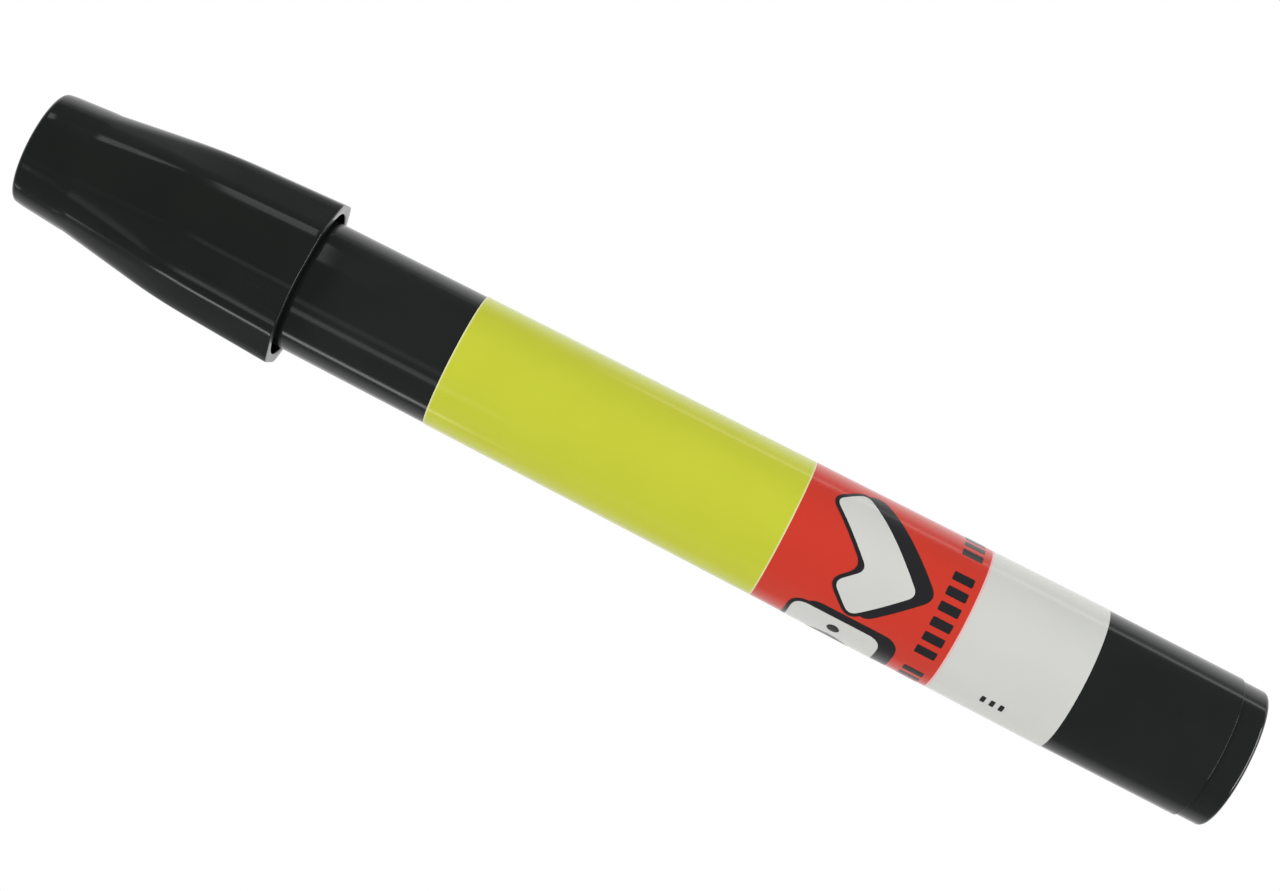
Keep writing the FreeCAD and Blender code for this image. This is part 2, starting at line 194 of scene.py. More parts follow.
class PenLabelSettings(bpy.types.PropertyGroup):
    """Zones and inks of the printed label, counted from the cap's closed end."""

    red_place: bpy.props.FloatProperty(
        name="Red zone", description="Where yellow ends and red begins",
        default=87.36 * MM, unit="LENGTH")
    white_place: bpy.props.FloatProperty(
        name="White zone", description="Where red ends and white begins",
        default=107.75 * MM, unit="LENGTH")
    border: bpy.props.FloatProperty(
        name="Border", description="Width of the pale line at the edge of a zone",
        default=0.16 * MM, unit="LENGTH")
    yellow: bpy.props.FloatVectorProperty(
        name="Yellow", description="Yellow ink", default=(0.58, 0.62, 0.038),
        subtype="COLOR", size=3)
    red: bpy.props.FloatVectorProperty(
        name="Red", description="Red ink", default=(0.63, 0.040, 0.021),
        subtype="COLOR", size=3)
    white: bpy.props.FloatVectorProperty(
        name="White", description="Bare white film", default=(0.66, 0.667, 0.63),
        subtype="COLOR", size=3)
    ink: bpy.props.FloatVectorProperty(
        name="Black ink", description="Black ink", default=(0.012, 0.012, 0.014),
        subtype="COLOR", size=3)
    ink_layer: bpy.props.FloatProperty(
        name="Ink layer", description="Thickness of one layer of printed ink",
        default=0.014 * MM, unit="LENGTH", precision=6)
    outline: bpy.props.FloatProperty(
        name="Outline", description="Width of the black line round a printed sign",
        default=0.42 * MM, unit="LENGTH")
    shadow: bpy.props.FloatVectorProperty(
        name="Shadow", description="How far a sign's black shadow is moved across and down",
        default=(0.55 * MM, -1.35 * MM), unit="LENGTH", size=2)


class PenFinishSettings(bpy.types.PropertyGroup):
    """Colours of the unprinted pieces."""

    black: bpy.props.FloatVectorProperty(
        name="Black plastic", description="Moulded plastic of the cap",
        default=(0.0056, 0.0082, 0.0064), subtype="COLOR", size=3)
    tube_black: bpy.props.FloatVectorProperty(
        name="Barrel black", description="Moulded plastic of barrel and plug",
        default=(0.0096, 0.0122, 0.0108), subtype="COLOR", size=3)
    natural: bpy.props.FloatVectorProperty(
        name="Natural plastic", description="Undyed plastic of inner cap and nib holder",
        default=(0.78, 0.78, 0.74), subtype="COLOR", size=3)
    felt: bpy.props.FloatVectorProperty(
        name="Felt", description="Clean felt", default=(0.72, 0.60, 0.38),
        subtype="COLOR", size=3)
    stain: bpy.props.FloatVectorProperty(
        name="Stain", description="Felt soaked with testing ink",
        default=(0.42, 0.20, 0.035), subtype="COLOR", size=3)


# ---------------------------------------------------------------- modelling helpers


def at(place):
    """X of a place counted from the cap's closed end."""
    return cad_low.x + place


def deselect():
    """Leave nothing selected, so that an operator acts only on what is added next."""
    if bpy.context.object and bpy.context.object.mode != "OBJECT":
        bpy.ops.object.mode_set(mode="OBJECT")
    bpy.ops.object.select_all(action="DESELECT")


def pick(obj):
    """Make one object the selected and active one."""
    deselect()
    obj.select_set(True)
    bpy.context.view_layer.objects.active = obj


def settle(obj):
    """Put an object's place, turn and scale into its mesh."""
    pick(obj)
    bpy.ops.object.transform_apply(location=True, rotation=True, scale=True)


def apply_modifier(obj, kind, **values):
    """Add a modifier with these values and apply it."""
    pick(obj)
    modifier = obj.modifiers.new(kind.lower(), kind)
    for name, value in values.items():
        setattr(modifier, name, value)
    bpy.ops.object.modifier_apply(modifier=modifier.name)


def round_rims(obj, width, sharp=40.0, segments=4):
    """Round every edge that is sharper than an angle in degrees."""
    apply_modifier(obj, "BEVEL", width=width, segments=segments, limit_method="ANGLE",
                   angle_limit=math.radians(sharp), harden_normals=False)


def face_outwards(obj):
    """Point every face of a closed mesh outwards."""
    pick(obj)
    bpy.ops.object.mode_set(mode="EDIT")
    bpy.ops.mesh.select_all(action="SELECT")
    bpy.ops.mesh.normals_make_consistent(inside=False)
    bpy.ops.object.mode_set(mode="OBJECT")


def turned(name, rings, sides=ROUND, ends="FILL"):
    """Turn a piece from (place, radius) rings: a circle extruded and resized ring by ring.

    ends is FILL for a solid end to end, or JOIN where the last ring is the first again.
    """
    deselect()
    place, radius = rings[0]
    bpy.ops.mesh.primitive_circle_add(
        vertices=sides, radius=radius, fill_type="NOTHING",
        location=(at(place), 0.0, AXIS_HEIGHT), rotation=(0.0, math.pi / 2, 0.0))
    obj = bpy.context.object
    obj.name = name
    settle(obj)
    bpy.ops.object.mode_set(mode="EDIT")
    bpy.ops.mesh.select_all(action="SELECT")
    for next_place, next_radius in rings[1:]:
        bpy.ops.mesh.extrude_region_move(
            TRANSFORM_OT_translate={"value": (next_place - place, 0.0, 0.0)})
        scale = next_radius / radius
        if abs(scale - 1.0) > 1e-9:
            bpy.ops.transform.resize(
                value=(1.0, scale, scale), center_override=(at(next_place), 0.0, AXIS_HEIGHT))
        place, radius = next_place, next_radius
    bpy.ops.mesh.select_all(action="SELECT")
    if ends == "JOIN":
        bpy.ops.mesh.remove_doubles(threshold=0.002 * MM)
    else:
        bpy.ops.mesh.fill_holes(sides=0)
    face_outwards(obj)
    return obj


def finish_piece(obj, material, body, *nodes, smooth=35.0, weighted=False):
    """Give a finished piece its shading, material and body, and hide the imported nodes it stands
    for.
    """
    pick(obj)
    bpy.ops.object.shade_smooth_by_angle(angle=math.radians(smooth))
    if weighted:
        apply_modifier(obj, "WEIGHTED_NORMAL", mode="FACE_AREA", keep_sharp=True, weight=80)
    dress(obj, material)
    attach(obj, body)
    if nodes:
        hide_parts(*nodes)


def slice_flat(obj, point, normal):
    """Plane away what stands outside a flat."""
    pick(obj)
    bpy.ops.object.mode_set(mode="EDIT")
    bpy.ops.mesh.select_all(action="SELECT")
    bpy.ops.mesh.bisect(plane_co=point, plane_no=normal, use_fill=True, clear_outer=True,
                        threshold=0.0001 * MM)
    bpy.ops.object.mode_set(mode="OBJECT")


def new_material(name):
    """An empty node material and its Principled shader."""
    material = bpy.data.materials.new(name)
    material.use_nodes = True
    shader = material.node_tree.nodes["Principled BSDF"]
    return material, shader


def dress(obj, material):
    """Give an object one material, in place of any that it came with."""
    obj.data.materials.clear()
    obj.data.materials.append(material)


# ---------------------------------------------------------------- materials


def wear_group():
    """Uneven tint, polish and grain that every finish of the pen has in its own measure.

    Tint lightens and darkens the colour in soft patches. Haze is how far the polish wanders.
    Rubs are fine lines along the pen, where the cap and the hand slide.
    """
    group = bpy.data.node_groups.get("surface_wear")
    if group:
        return group
    group = bpy.data.node_groups.new("surface_wear", "ShaderNodeTree")
    inputs = (("Colour", "NodeSocketColor", (0.5, 0.5, 0.5, 1.0)),
              ("Tint", "NodeSocketFloat", 0.03), ("Polish", "NodeSocketFloat", 0.2),
              ("Haze", "NodeSocketFloat", 0.05), ("Rubs", "NodeSocketFloat", 0.05),
              ("Grain", "NodeSocketFloat", 3000.0), ("Patches", "NodeSocketFloat", 120.0))
    for name, kind, value in inputs:
        socket = group.interface.new_socket(name=name, in_out="INPUT", socket_type=kind)
        socket.default_value = value
    for name, kind in (("Colour", "NodeSocketColor"), ("Roughness", "NodeSocketFloat"),
                       ("Height", "NodeSocketFloat")):
        group.interface.new_socket(name=name, in_out="OUTPUT", socket_type=kind)
    tree = group.nodes
    start = tree.new("NodeGroupInput")
    end = tree.new("NodeGroupOutput")
    place = tree.new("ShaderNodeTexCoord")
    stretch = tree.new("ShaderNodeMapping")
    stretch.inputs["Scale"].default_value = (0.03, 1.0, 1.0)     # drawn out along the pen
    patches = tree.new("ShaderNodeTexNoise")
    patches.inputs["Detail"].default_value = 3.0
    rubs = tree.new("ShaderNodeTexNoise")
    rubs.inputs["Scale"].default_value = 2600.0
    rubs.inputs["Detail"].default_value = 2.0
    grain = tree.new("ShaderNodeTexNoise")
    grain.inputs["Detail"].default_value = 1.0

    def computed(operation, first, second):
        """The outcome of a sum whose terms are numbers or sockets."""
        node = tree.new("ShaderNodeMath")
        node.operation = operation
        for socket, value in zip(node.inputs, (first, second)):
            if isinstance(value, float):
                socket.default_value = value
            else:
                group.links.new(value, socket)
        return node.outputs["Value"]

    group.links.new(place.outputs["Object"], patches.inputs["Vector"])
    group.links.new(start.outputs["Patches"], patches.inputs["Scale"])
    group.links.new(place.outputs["Object"], stretch.inputs["Vector"])
    group.links.new(stretch.outputs["Vector"], rubs.inputs["Vector"])
    group.links.new(place.outputs["Object"], grain.inputs["Vector"])
    group.links.new(start.outputs["Grain"], grain.inputs["Scale"])
    lines = computed("SUBTRACT", rubs.outputs["Fac"], 0.56)      # only the noise's crests
    lines = computed("MAXIMUM", lines, 0.0)
    lines = computed("MULTIPLY", lines, start.outputs["Rubs"])
    spread = computed("SUBTRACT", patches.outputs["Fac"], 0.5)
    value = computed("MULTIPLY", spread, start.outputs["Tint"])
    value = computed("ADD", value, 1.0)
    shade = tree.new("ShaderNodeHueSaturation")
    group.links.new(start.outputs["Colour"], shade.inputs["Color"])
    group.links.new(value, shade.inputs["Value"])
    haze = computed("MULTIPLY", spread, start.outputs["Haze"])
    rough = computed("ADD", haze, start.outputs["Polish"])
    rough = computed("ADD", rough, computed("MULTIPLY", lines, 3.0))
    group.links.new(shade.outputs["Color"], end.inputs["Colour"])
    group.links.new(rough, end.inputs["Roughness"])
    group.links.new(computed("SUBTRACT", grain.outputs["Fac"], lines), end.inputs["Height"])
    return group


def worn(name, colour, bump, depth, **values):
    """A material whose colour, polish and relief come from the wear group.

    Bump is how strongly the grain shows, and depth how deep it is.
    """
    material, shader = new_material(name)
    wear = material.node_tree.nodes.new("ShaderNodeGroup")
    wear.node_tree = wear_group()
    wear.inputs["Colour"].default_value = (*colour, 1.0)
    for socket, value in values.items():
        wear.inputs[socket].default_value = value
    relief = material.node_tree.nodes.new("ShaderNodeBump")
    relief.inputs["Strength"].default_value = bump
    relief.inputs["Distance"].default_value = depth
    links = material.node_tree.links
    links.new(wear.outputs["Colour"], shader.inputs["Base Color"])
    links.new(wear.outputs["Roughness"], shader.inputs["Roughness"])
    links.new(wear.outputs["Height"], relief.inputs["Height"])
    links.new(relief.outputs["Normal"], shader.inputs["Normal"])
    return material, shader


def glossy_black(name, colour):
    """Glossy moulded plastic with the faint rubs of handling."""
    material, shader = worn(
        name, colour, 0.03, FINE_RELIEF, Tint=0.5, Polish=0.125, Haze=0.08, Rubs=0.12,
        Grain=2200.0, Patches=140.0)
    shader.inputs["IOR"].default_value = 1.5
    return material


def black_plastic(finish):
    """The cap's plastic."""
    return glossy_black("moulded_black", finish.black)


def tube_plastic(finish):
    """The barrel's plastic, a little lighter black than the cap's."""
    return glossy_black("tube_black", finish.tube_black)


def lightened(colour, share):
    """A colour with this share of white in it."""
    return [share + (1.0 - share) * channel for channel in colour]


def ink(name, colour, polish=0.2):
    """Ink on film: even colour under a thin gloss that ripples a little."""
    material, shader = worn(
        name, colour, 0.06, FINE_RELIEF, Tint=0.07, Polish=polish, Haze=0.10, Rubs=0.04,
        Grain=900.0, Patches=160.0)
    shader.inputs["Coat Weight"].default_value = 0.3
    shader.inputs["Coat Roughness"].default_value = 0.12
    return material


def natural_plastic(finish):
    """Undyed, milky plastic."""
    material, _ = worn(
        "milky_plastic", finish.natural, 0.1, FINE_RELIEF, Tint=0.05, Polish=0.36,
        Haze=0.1, Rubs=0.1, Grain=2600.0, Patches=200.0)
    return material


def felt(finish):
    """Pressed felt: soft fibres, darker where the ink has soaked in towards the tip."""
    material, shader = worn(
        "nib_felt", finish.felt, 0.9, 0.08 * MM, Tint=0.35, Polish=0.93, Haze=0.05,
        Rubs=0.3, Grain=5200.0, Patches=700.0)
    nodes = material.node_tree.nodes
    links = material.node_tree.links
    reach = 6.0 * MM
    place = nodes.new("ShaderNodeTexCoord")
    along = nodes.new("ShaderNodeSeparateXYZ")
    soaked = nodes.new("ShaderNodeMapRange")
    soaked.inputs["From Min"].default_value = NIB_LOW.x
    soaked.inputs["From Max"].default_value = NIB_LOW.x + reach
    soaked.inputs["To Min"].default_value = 1.0
    soaked.inputs["To Max"].default_value = 0.25
    blend = nodes.new("ShaderNodeMix")
    blend.data_type = "RGBA"
    wear = next(node for node in nodes if node.type == "GROUP")
    clean, stained = (socket for socket in blend.inputs if socket.type == "RGBA")
    stained.default_value = (*finish.stain, 1.0)
    links.new(place.outputs["Object"], along.inputs["Vector"])
    links.new(along.outputs["X"], soaked.inputs["Value"])
    links.new(soaked.outputs["Result"], blend.inputs["Factor"])
    links.new(wear.outputs["Colour"], clean)
    mixed = next(socket for socket in blend.outputs if socket.type == "RGBA")
    links.new(mixed, shader.inputs["Base Color"])
    return material


def fibre(finish):
    """Bundled fibres, soaked through."""
    material, _ = worn(
        "reservoir_fibre", finish.felt, 1.0, 0.1 * MM, Tint=0.4, Polish=0.85,
        Haze=0.1, Rubs=1.2, Grain=4000.0, Patches=300.0)
    return material


def film(finish):
    """Thin clear-white film round the fibres."""
    material, _ = worn(
        "reservoir_film", finish.natural, 0.1, FINE_RELIEF, Tint=0.04, Polish=0.2,
        Haze=0.1, Rubs=0.1, Grain=800.0, Patches=120.0)
    return material


# ---------------------------------------------------------------- pieces


def eased(value, limit, blend):
    """The lesser of two lengths, with the corner between them rounded off."""
    near = max(0.0, 1.0 - abs(value - limit) / blend)
    return min(value, limit) - blend * near * near / 4.0


def flat_distance(cap, place):
    """Distance of a flat's middle line from the axis, eased round the kink."""
    steep = (cap.kink_apothem - cap.tip_radius) / (cap.kink_place - cap.tip_place)
    gentle = (CAP_MOUTH - cap.kink_apothem) / (CAP_LENGTH - cap.kink_place)
    front = cap.tip_radius + steep * abs(place - cap.tip_place)
    rear = cap.kink_apothem + gentle * (place - cap.kink_place)
    return eased(front, rear, cap.kink_ease * (steep - gentle))


def round_distance(cap, place):
    """Radius of the round outline that the ridges and the closed end follow."""
    to_corner = 1.0 / math.cos(math.pi / FACETS)
    outline = [
        (0.0, cap.end_radius), (cap.tip_place, cap.tip_radius),
        (cap.kink_place, cap.kink_apothem * to_corner - cap.ridge_trim),
        (CAP_LENGTH, CAP_MOUTH * to_corner - cap.ridge_trim),
    ]
    end_cone, taper, mouth_cone = (
        low + (high - low) / (end - start) * (place - start)
        for (start, low), (end, high) in zip(outline, outline[1:]))
    front = max(end_cone, taper) if place < cap.tip_place else taper
    return eased(front, mouth_cone, cap.kink_ease * KINK_SHARPNESS)


def press_flats(shell, cap, sides, rings):
    """Press ten flats into the round outside of the cap, ring by ring."""
    for vertex in shell.data.vertices[:sides * rings]:
        place = counted(vertex.co.x)
        across = vertex.co.y
        rise = vertex.co.z - AXIS_HEIGHT
        angle = math.atan2(rise, across) + math.pi / 2
        step = FULL_TURN / FACETS
        from_middle = (angle + step / 2) % step - step / 2
        limit = flat_distance(cap, place) / math.cos(from_middle)
        radius = math.hypot(across, rise)
        target = eased(radius, limit, cap.ridge_blend)
        vertex.co.y = across * target / radius
        vertex.co.z = AXIS_HEIGHT + rise * target / radius


def rounded_edge(place, radius, size, steps):
    """Rings of the rounded edge at a round end that faces the cap's closed end."""
    rings = []
    for step in range(steps + 1):
        turn = math.pi / 2 * step / steps
        rings.append((place + size * (1.0 - math.sin(turn)),
                      radius - size * (1.0 - math.cos(turn))))
    return rings[::-1]


def make_cap_shell(cap, material):
    """Round cone with ten flats pressed into it, hollow from its mouth."""
    steps = 54
    counterbore_end, counterbore = 24.2 * MM, 8.1 * MM
    cone_bore, floor_place, floor_bore = 7.3 * MM, 1.6 * MM, 4.8 * MM
    outside = rounded_edge(0.0, cap.end_radius, cap.end_round, 6)
    for number in range(1, steps + 1):
        place = cap.end_round + (CAP_LENGTH - cap.end_round) * number / steps
        outside.append((place, round_distance(cap, place)))
    inside = [
        (CAP_LENGTH, cap.mouth_bore), (counterbore_end, counterbore),
        (counterbore_end, SEAT_BORE), (SEAT_PLACE, SEAT_BORE), (SEAT_PLACE, cone_bore),
        (cap.kink_place, cone_bore), (floor_place, floor_bore),
    ]
    shell = turned("cap_shell_moulding", outside + inside, sides=CAP_SIDES)
    press_flats(shell, cap, CAP_SIDES, len(outside))
    round_rims(shell, cap.edge_round, sharp=50.0)
    finish_piece(shell, material, "cap", "cap_shell", smooth=40.0, weighted=True)


def make_inner_cap(material):
    """Thin cup inside the cap, with its sealing land and the flange that holds it."""
    start = counted(INNER_LOW.x)
    end = counted(INNER_HIGH.x)
    flange = node_radius("inner_cap")
    flange_end, floor = 24.0 * MM, 0.8 * MM
    closed_radius, closed_bore = 4.7 * MM, 3.9 * MM
    skirt, bore, lead_in = 6.5 * MM, 5.65 * MM, 0.5 * MM
    cup = turned("inner_cap_cup", [
        (start, closed_radius), (SEAL_PLACE, skirt), (SEAT_PLACE, skirt), (SEAT_PLACE, flange),
        (flange_end, flange), (flange_end, skirt), (end, skirt), (end, bore + lead_in),
        (end - lead_in, bore), (SEAL_PLACE, bore), (start + floor, closed_bore),
    ])
    round_rims(cup, 0.12 * MM)
    finish_piece(cup, material, "cap", "inner_cap")


def barrel_radius(place):
    """Outer radius of the barrel's taper at a place."""
    start = counted(BARREL_LOW.x)
    end = counted(LABEL_HIGH.x)
    grown = min(1.0, (place - start) / (end - start))
    return BARREL_FRONT + (BARREL_RADIUS - BARREL_FRONT) * grown


def make_barrel(material):
    """Tapered tube with a plain tail."""
    start = counted(BARREL_LOW.x)
    end = counted(BARREL_HIGH.x)
    label_end = counted(LABEL_HIGH.x)
    rings = [(start, BARREL_BORE), (start, BARREL_FRONT)]
    steps = 12
    for number in range(1, steps + 1):
        place = start + (label_end - start) * number / steps
        rings.append((place, barrel_radius(place)))
    rings += [(end, barrel_radius(end)), (end, BARREL_BORE), (start, BARREL_BORE)]
    tube = turned("barrel_moulding", rings, ends="JOIN")
    round_rims(tube, 0.06 * MM)
    finish_piece(tube, material, "pen_body", "barrel_tube")


def make_end_plug(material):
    """Button in the tail with a hollow spigot."""
    start = counted(PLUG_LOW.x)
    end = counted(PLUG_HIGH.x)
    seat = counted(BARREL_HIGH.x)
    flange = node_radius("end_plug")
    hollow, bevel = 5.0 * MM, 0.04 * MM
    edge = [(end - (place - start), radius)
            for place, radius in rounded_edge(start, flange, 0.5 * MM, 8)]
    plug = turned("end_plug_moulding", [
        (seat, hollow), (start, hollow), (start, BARREL_BORE), (seat, BARREL_BORE),
        (seat, flange - bevel), (seat + bevel, flange), *reversed(edge),
    ])
    finish_piece(plug, material, "pen_body", "end_plug")


def make_label(label, materials):
    """Printed sleeve: one film whose rings of faces take the ink of their zone."""
    start = counted(LABEL_LOW.x)
    end = counted(LABEL_HIGH.x)
    edge = label.border
    zones = [
        (start, "edge"), (start + edge, "yellow"), (label.red_place - edge, "edge"),
        (label.red_place, "red"), (label.white_place, "pale"),
        (label.white_place + edge * 1.5, "white"), (end, "white"),
    ]
    rings = [(start, barrel_radius(start))]
    rings += [(place, barrel_radius(place) + LABEL_FILM) for place, _ in zones]
    rings += [(end, barrel_radius(end)), (start, barrel_radius(start))]
    sleeve = turned("label_sleeve", rings, ends="JOIN")
    names = sorted(materials)
    dress(sleeve, materials[names[0]])
    for name in names[1:]:
        sleeve.data.materials.append(materials[name])
    for face in sleeve.data.polygons:
        place = counted(face.center.x)
        here = [name for zone, name in zones if zone <= place + 1e-7]
        face.material_index = names.index(here[-1] if here else "edge")
    pick(sleeve)
    bpy.ops.object.shade_smooth_by_angle(angle=math.radians(35.0))
    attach(sleeve, "pen_body")
    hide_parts("wrap_label")


def corners_grown(corners, growth):
    """A polygon's corners moved so that every side lies further out by the growth."""
    grown = []
    count = len(corners)
    for number, corner in enumerate(corners):
        before = (corner - corners[number - 1]).normalized()
        after = (corners[(number + 1) % count] - corner).normalized()
        out = Vector((before.y + after.y, -before.x - after.x))
        out.normalize()
        slant = max(SHARPEST_CORNER, out.dot(Vector((before.y, -before.x))))
        grown.append(corner + out * growth / slant)
    return grown


def corners_rounded(corners, radius, steps=7):
    """The outline of a polygon with every corner turned into a curve."""
    outline = []
    count = len(corners)
    for number, corner in enumerate(corners):
        back = corners[number - 1] - corner
        forth = corners[(number + 1) % count] - corner
        reach = min(radius, back.length * MOST_OF_HALF, forth.length * MOST_OF_HALF)
        start = corner + back.normalized() * reach
        end = corner + forth.normalized() * reach
        for step in range(steps + 1):
            share = step / steps
            outline.append(start * (1 - share) ** 2 + corner * 2 * share * (1 - share)
                           + end * share ** 2)
    return outline


def print_shape(name, outline, place, angle, base, layer, material):
    """Print a flat outline on the label: a thin plate wrapped round the barrel.

    The outline lies across (round the pen) and up (towards the cap).
    """
    middle = Vector((at(place), 0.0, 0.0))
    deselect()
    bpy.ops.mesh.primitive_circle_add(
        vertices=len(outline), radius=MM, fill_type="NGON", location=middle)
    plate = bpy.context.object
    plate.name = name
    settle(plate)
    for vertex, point in zip(plate.data.vertices, outline):
        vertex.co = middle + Vector((-point.y, -point.x, 0.0))
    pick(plate)
    bpy.ops.object.mode_set(mode="EDIT")
    radius = barrel_radius(place) + LABEL_FILM
    low = min(-point.x for point in outline)
    high = max(-point.x for point in outline)
    strip = radius * math.radians(2.5)      # narrow enough to bend round the barrel
    for number in range(1, int((high - low) / strip) + 1):
        bpy.ops.mesh.select_all(action="SELECT")
        bpy.ops.mesh.bisect(plane_co=(0.0, low + strip * number, 0.0), plane_no=(0.0, 1.0, 0.0))
    bpy.ops.mesh.select_all(action="SELECT")
    bpy.ops.mesh.extrude_region_move(TRANSFORM_OT_translate={"value": (0.0, 0.0, MM)})
    bpy.ops.object.mode_set(mode="OBJECT")
    for vertex in plate.data.vertices:
        top = vertex.co.z > MM / 2
        skin = barrel_radius(counted(vertex.co.x)) + LABEL_FILM
        out = skin + base + layer if top else skin - LABEL_FILM / 3
        turn = angle + vertex.co.y / radius
        vertex.co.y = -math.sin(turn) * out
        vertex.co.z = AXIS_HEIGHT + math.cos(turn) * out
    face_outwards(plate)
    finish_piece(plate, material, "pen_body", smooth=30.0)
    return plate


def print_sign(name, corners, radius, place, angle, label, materials):
    """A white sign with a black outline and a black shadow dropped behind it."""
    layer = label.ink_layer
    wide = corners_rounded(corners_grown(corners, label.outline), radius + label.outline)
    moved = [point + Vector(label.shadow) for point in wide]
    print_shape(f"{name}_shadow", moved, place, angle, 0.0, layer, materials["black"])
    print_shape(f"{name}_outline", wide, place, angle, layer, layer, materials["black"])
    print_shape(f"{name}_face", corners_rounded(corners, radius), place, angle,
                layer * 2, layer, materials["paper"])


def copy_round(plate, name, angle):
    """A copy of a printed plate, turned round the pen's axis, with its own mesh."""
    twin = plate.copy()
    twin.data = plate.data.copy()
    twin.name = name
    bpy.context.collection.objects.link(twin)
    centre = Vector((0.0, 0.0, AXIS_HEIGHT))
    twin.data.transform(
        Matrix.Translation(centre) @ Matrix.Rotation(angle, 4, "X") @ Matrix.Translation(-centre))
    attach(twin, "pen_body")


def round_outline(radius, sides=28):
    """The outline of a disc."""
    turns = [FULL_TURN * number / sides for number in range(sides)]
    return [Vector((math.cos(turn), math.sin(turn))) * radius for turn in turns]


def oblong(width, height):
    """The corners of a rectangle."""
    half = Vector((width / 2, height / 2))
    signs = ((-1, -1), (1, -1), (1, 1), (-1, 1))
    return [Vector((half.x * across, half.y * up)) for across, up in signs]


def make_signs(label, materials):
    """Round the red zone: a tick, a banknote and a coin, then a row of plain bars."""
    place = 96.4 * MM
    layer = label.ink_layer
    black = materials["black"]
    tick = [Vector(point) * 0.93 * MM for point in (
        (-7.3, -0.6), (-1.7, -6.3), (7.4, 3.2), (4.4, 6.3), (-1.7, -0.1), (-4.3, 2.6))]
    note = oblong(13.0 * MM, 10.0 * MM)
    coin = round_outline(5.0 * MM, 24)
    tick_turn, note_turn, coin_turn = (math.radians(turn) for turn in (3.5, 110.0, 234.0))
    print_sign("tick", tick, 1.0 * MM, place, tick_turn, label, materials)
    print_sign("note", note, 1.6 * MM, place, note_turn, label, materials)
    print_sign("coin", coin, 0.5 * MM, place, coin_turn, label, materials)

    on_sign = layer * 3
    note_disc = round_outline(2.6 * MM)
    print_shape("note_disc", note_disc, place, note_turn, on_sign, layer, black)
    coin_square = corners_rounded(oblong(2.8 * MM, 2.8 * MM), 0.3 * MM, steps=3)
    print_shape("coin_square", coin_square, place, coin_turn, on_sign, layer, black)
    dot = round_outline(0.7 * MM, 12)
    dot_turn = 4.6 * MM / barrel_radius(place)
    for number, side in enumerate((-1.0, 1.0)):
        print_shape(f"note_dot_{number + 1}", dot, place, note_turn + side * dot_turn, on_sign,
                    layer, black)

    bar_place, count, gap, group = 105.75 * MM, 28, 5, 7    # one bar in a group is left out
    bar_outline = corners_rounded(oblong(1.04 * MM, 2.3 * MM), 0.15 * MM, steps=3)
    bar = print_shape("bar_01", bar_outline, bar_place, 0.0, 0.0, layer, black)
    for number in range(1, count):
        if number % group != gap:
            copy_round(bar, f"bar_{number + 1:02d}", FULL_TURN * number / count)

    short_place, pitch, short_turn = 113.3 * MM, 1.05 * MM, math.radians(67.0)
    short = corners_rounded(oblong(1.0 * MM, 0.5 * MM), 0.1 * MM, steps=3)
    for number in range(3):
        print_shape(f"short_bar_{number + 1}", short, short_place + pitch * number, short_turn,
                    0.0, layer, black)


def make_holder(material):
    """Front plug: spigot, flange, sealing collar and nose."""
    start = counted(HOLDER_LOW.x)
    end = counted(HOLDER_HIGH.x)
    seat = counted(BARREL_LOW.x)
    flange = node_radius("nib_holder")
    nib_bore, wide_bore = 2.4 * MM, 3.2 * MM
    nose, root, root_place = 3.6 * MM, 5.0 * MM, 20.6 * MM
    collar, collar_place, flange_place = 5.6 * MM, 21.2 * MM, 25.5 * MM
    holder = turned("nib_holder_moulding", [
        (start, nib_bore), (start, nose), (root_place, root), (collar_place, collar),
        (flange_place, collar), (flange_place, flange), (seat, flange), (seat, BARREL_BORE),
        (end, BARREL_BORE), (end, wide_bore), (seat, wide_bore), (seat, nib_bore),
        (start, nib_bore),
    ], ends="JOIN")
    round_rims(holder, 0.12 * MM)
    finish_piece(holder, material, "pen_body", "nib_holder")


def make_nib(material):
    """Felt rod, sliced to a slanted chisel."""
    start = counted(NIB_LOW.x)
    end = counted(NIB_HIGH.x)
    radius = node_radius("nib")
    rod = turned("nib_felt", [(start, radius), (end, radius)], sides=64)
    heel, edge, slant = 4.6 * MM, 0.75 * MM, 1.2 * MM
    rise = math.atan2(radius - edge, heel)
    for side in (-1.0, 1.0):
        slice_flat(rod, (at(start), 0.0, AXIS_HEIGHT + side * edge),
                   (-math.sin(rise), 0.0, side * math.cos(rise)))
    lean = math.atan2(slant, 2.0 * radius)
    slice_flat(rod, (at(start), -radius, AXIS_HEIGHT),
               (-math.cos(lean), math.sin(lean), 0.0))
    round_rims(rod, 0.2 * MM, sharp=25.0)
    finish_piece(rod, material, "pen_body", "nib")


# ---------------------------------------------------------------- camera, floor, lights


def make_camera(view):
    """Camera square to the pen's axis, rolled so that the pen lies across the picture."""
    back = Vector((0.0, -math.cos(view.elevation), math.sin(view.elevation)))
    along = Vector((1.0, 0.0, 0.0))
    across = back.cross(along)
    place = Vector((view.foot, 0.0, AXIS_HEIGHT)) + back * view.distance
    aim = Vector((view.aim_along, 0.0, AXIS_HEIGHT)) + across * view.aim_across
    up = -math.sin(view.roll) * along + math.cos(view.roll) * across
    local_z = (place - aim).normalized()
    local_x = up.cross(local_z).normalized()
    local_y = local_z.cross(local_x)
    bpy.ops.object.camera_add(location=place)
    camera = bpy.context.object
    camera.name = "camera"
    turn = Matrix((local_x, local_y, local_z)).transposed()
    camera.rotation_euler = turn.to_euler()
    camera.data.lens = view.lens
    camera.data.sensor_width = 36.0
    camera.data.clip_start = 0.01
    bpy.context.scene.camera = camera


